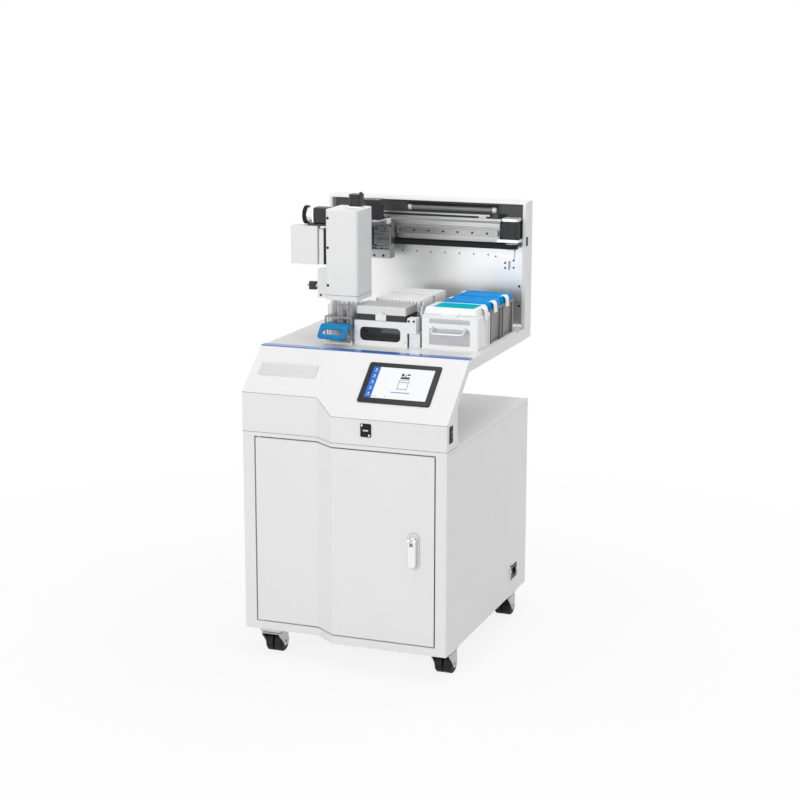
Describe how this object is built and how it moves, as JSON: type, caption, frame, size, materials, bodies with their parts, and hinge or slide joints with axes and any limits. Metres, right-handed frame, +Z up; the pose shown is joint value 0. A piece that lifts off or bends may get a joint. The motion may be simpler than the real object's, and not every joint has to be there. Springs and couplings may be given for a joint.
{
  "type": "nucleic acid extractor",
  "caption": "Wheeled cabinet with a sloped touch-screen console, a labware deck and a gantry pipetting head, for extracting nucleic acids.",
  "frame": {"origin": "on the floor, under the middle of the whole instrument's outline", "axes": "+X to the user's right when facing the door, +Y to the back, +Z up"},
  "size_m": [0.523, 0.646, 1.083],
  "materials": {
    "white_paint": "satin powder coat",
    "deck_steel": "brushed, with a blue edge film",
    "panel_steel": "brushed",
    "bright_steel": "ground and zinc plated",
    "module_paint": "satin",
    "black_plastic": "fine matte",
    "motor_black": "black with plain end caps",
    "pulley_aluminium": "machined",
    "wheel_rubber": "smooth black",
    "handle_grey": "satin chrome-grey",
    "lamp_glass": "tube lamp with pale caps",
    "rack_blue": "blue anodised",
    "tube_clear": "clear to frosted",
    "labware_white": "moulded",
    "bin_lid_teal": "white rim with a teal top",
    "tip_box_grey": "moulded",
    "tip_lid_blue": "translucent blue"
  },
  "bodies": {
    "stand": {"cabinet_body": "white_paint", "cabinet_top": "white_paint", "cabinet_rear_cover": "white_paint", "caster_plates": "bright_steel", "console_shell": "white_paint", "touch_screen": "black_plastic", "usb_port": "black_plastic", "power_switch_frame": "black_plastic", "power_inlet": "black_plastic", "electronics_tray": "bright_steel", "deck_tray": "white_paint", "deck_plate": "deck_steel", "deck_front_strip": "deck_steel", "support_column": "white_paint", "rear_housing": "white_paint", "rear_inner_panel": "panel_steel", "uv_lamp": "lamp_glass", "x_beam": "white_paint", "x_rail": "bright_steel", "x_motor": "motor_black", "x_belt": "black_plastic", "module_housing": "module_paint", "module_slab": "panel_steel", "labware_dock": "panel_steel"},
    "door": {"door_panel": "white_paint", "door_handle_plate": "handle_grey"},
    "lock_spindle": {"handle_spindle": "bright_steel"},
    "lock_lever": {"handle_lever": "handle_grey"},
    "rocker": {"power_rocker": "black_plastic"},
    "drive_pulley": {"x_drive_pulley": "pulley_aluminium"},
    "idler_pulley": {"x_idler_pulley": "pulley_aluminium"},
    "carriage": {"x_carriage": "white_paint", "y_arm": "white_paint", "y_motor": "motor_black"},
    "head": {"head_cover": "white_paint", "head_frame": "white_paint", "z_motor": "motor_black", "pump_motor": "motor_black", "valve_box": "white_paint"},
    "nozzles": {"nozzle_block": "bright_steel"},
    "knob": {"pump_knob": "black_plastic"},
    "sample_rack": {"rack_frame": "bright_steel", "rack_handle": "rack_blue", "sample_tubes": "tube_clear"},
    "plate_front": {"deep_well_plate_front": "labware_white"},
    "plate_rear": {"deep_well_plate_rear": "labware_white"},
    "bin": {"tip_bin": "labware_white"},
    "bin_cover": {"bin_lid": "bin_lid_teal"},
    "tips_middle": {"tip_box_middle": "tip_box_grey"},
    "tips_rear": {"tip_box_rear": "tip_box_grey"},
    "tips_middle_cover": {"tip_box_lid_middle": "tip_lid_blue"},
    "tips_rear_cover": {"tip_box_lid_rear": "tip_lid_blue"},
    "swivel_front_left": {"caster_fork_front_left": "bright_steel"},
    "wheels_front_left": {"caster_wheels_front_left": "wheel_rubber"},
    "swivel_front_right": {"caster_fork_front_right": "bright_steel"},
    "wheels_front_right": {"caster_wheels_front_right": "wheel_rubber"},
    "swivel_rear_left": {"caster_fork_rear_left": "bright_steel"},
    "wheels_rear_left": {"caster_wheels_rear_left": "wheel_rubber"},
    "swivel_rear_right": {"caster_fork_rear_right": "bright_steel"},
    "wheels_rear_right": {"caster_wheels_rear_right": "wheel_rubber"}
  },
  "joints": [
    {"name": "door_swing", "type": "hinge", "parent": "stand", "child": "door", "pos_m": [-0.221, -0.259, 0.308], "axis": [0, 0, -1], "range_deg": [0, 110]},
    {"name": "handle_turn", "type": "hinge", "parent": "door", "child": "lock_spindle", "pos_m": [0.18, -0.305, 0.334], "axis": [0, -1, 0], "range_deg": [0, 90]},
    {"name": "handle_lift", "type": "hinge", "parent": "lock_spindle", "child": "lock_lever", "pos_m": [0.18, -0.315, 0.334], "axis": [-1, 0, 0], "range_deg": [0, 30]},
    {"name": "power_rock", "type": "hinge", "parent": "stand", "child": "rocker", "pos_m": [0.257, -0.281, 0.581], "axis": [0, 1, 0], "range_deg": [-7, 7]},
    {"name": "x_slide", "type": "slide", "parent": "stand", "child": "carriage", "axis": [1, 0, 0], "range_m": [-0.045, 0.262]},
    {"name": "x_drive_spin", "type": "hinge", "parent": "stand", "child": "drive_pulley", "pos_m": [0.2273, 0.2612, 0.934], "axis": [0, 0, 1], "range_deg": [-190, 1080]},
    {"name": "x_idler_spin", "type": "hinge", "parent": "stand", "child": "idler_pulley", "pos_m": [-0.228, 0.2612, 0.934], "axis": [0, 0, 1], "range_deg": [-190, 1080]},
    {"name": "y_slide", "type": "slide", "parent": "carriage", "child": "head", "axis": [0, 1, 0], "range_m": [0, 0.145]},
    {"name": "z_slide", "type": "slide", "parent": "head", "child": "nozzles", "axis": [0, 0, 1], "range_m": [-0.065, 0]},
    {"name": "knob_spin", "type": "hinge", "parent": "head", "child": "knob", "pos_m": [-0.185, -0.046, 1.0285], "axis": [1, 0, 0], "continuous": true},
    {"name": "rack_slide", "type": "slide", "parent": "stand", "child": "sample_rack", "axis": [0, -1, 0], "range_m": [0, 0.05]},
    {"name": "plate_front_lift", "type": "slide", "parent": "stand", "child": "plate_front", "axis": [0, 0, -1], "range_m": [-0.08, 0]},
    {"name": "plate_rear_lift", "type": "slide", "parent": "stand", "child": "plate_rear", "axis": [0, 0, -1], "range_m": [-0.08, 0]},
    {"name": "bin_slide", "type": "slide", "parent": "stand", "child": "bin", "axis": [0, -1, 0], "range_m": [0, 0.08]},
    {"name": "bin_lid_lift", "type": "slide", "parent": "bin", "child": "bin_cover", "axis": [0, 0, -1], "range_m": [-0.05, 0]},
    {"name": "tips_middle_lift", "type": "slide", "parent": "stand", "child": "tips_middle", "axis": [0, 0, -1], "range_m": [-0.09, 0]},
    {"name": "tips_rear_lift", "type": "slide", "parent": "stand", "child": "tips_rear", "axis": [0, 0, -1], "range_m": [-0.09, 0]},
    {"name": "tips_middle_lid_lift", "type": "slide", "parent": "tips_middle", "child": "tips_middle_cover", "axis": [0, 0, -1], "range_m": [-0.05, 0]},
    {"name": "tips_rear_lid_lift", "type": "slide", "parent": "tips_rear", "child": "tips_rear_cover", "axis": [0, 0, -1], "range_m": [-0.05, 0]},
    {"name": "swivel_front_left", "type": "hinge", "parent": "stand", "child": "swivel_front_left", "pos_m": [-0.194, -0.242, 0.057], "axis": [0, 0, 1], "continuous": true},
    {"name": "roll_front_left", "type": "hinge", "parent": "swivel_front_left", "child": "wheels_front_left", "pos_m": [-0.194, -0.23, 0.024], "axis": [1, 0, 0], "continuous": true},
    {"name": "swivel_front_right", "type": "hinge", "parent": "stand", "child": "swivel_front_right", "pos_m": [0.234, -0.242, 0.057], "axis": [0, 0, 1], "continuous": true},
    {"name": "roll_front_right", "type": "hinge", "parent": "swivel_front_right", "child": "wheels_front_right", "pos_m": [0.234, -0.23, 0.024], "axis": [1, 0, 0], "continuous": true},
    {"name": "swivel_rear_left", "type": "hinge", "parent": "stand", "child": "swivel_rear_left", "pos_m": [-0.194, 0.212, 0.057], "axis": [0, 0, 1], "continuous": true},
    {"name": "roll_rear_left", "type": "hinge", "parent": "swivel_rear_left", "child": "wheels_rear_left", "pos_m": [-0.194, 0.224, 0.024], "axis": [1, 0, 0], "continuous": true},
    {"name": "swivel_rear_right", "type": "hinge", "parent": "stand", "child": "swivel_rear_right", "pos_m": [0.234, 0.212, 0.057], "axis": [0, 0, 1], "continuous": true},
    {"name": "roll_rear_right", "type": "hinge", "parent": "swivel_rear_right", "child": "wheels_rear_right", "pos_m": [0.234, 0.224, 0.024], "axis": [1, 0, 0], "continuous": true}
  ],
  "couplings": [
    {"joint": "x_drive_spin", "follows": "x_slide", "rad_per_m": 71.429},
    {"joint": "x_idler_spin", "follows": "x_slide", "rad_per_m": 71.429}
  ]
}
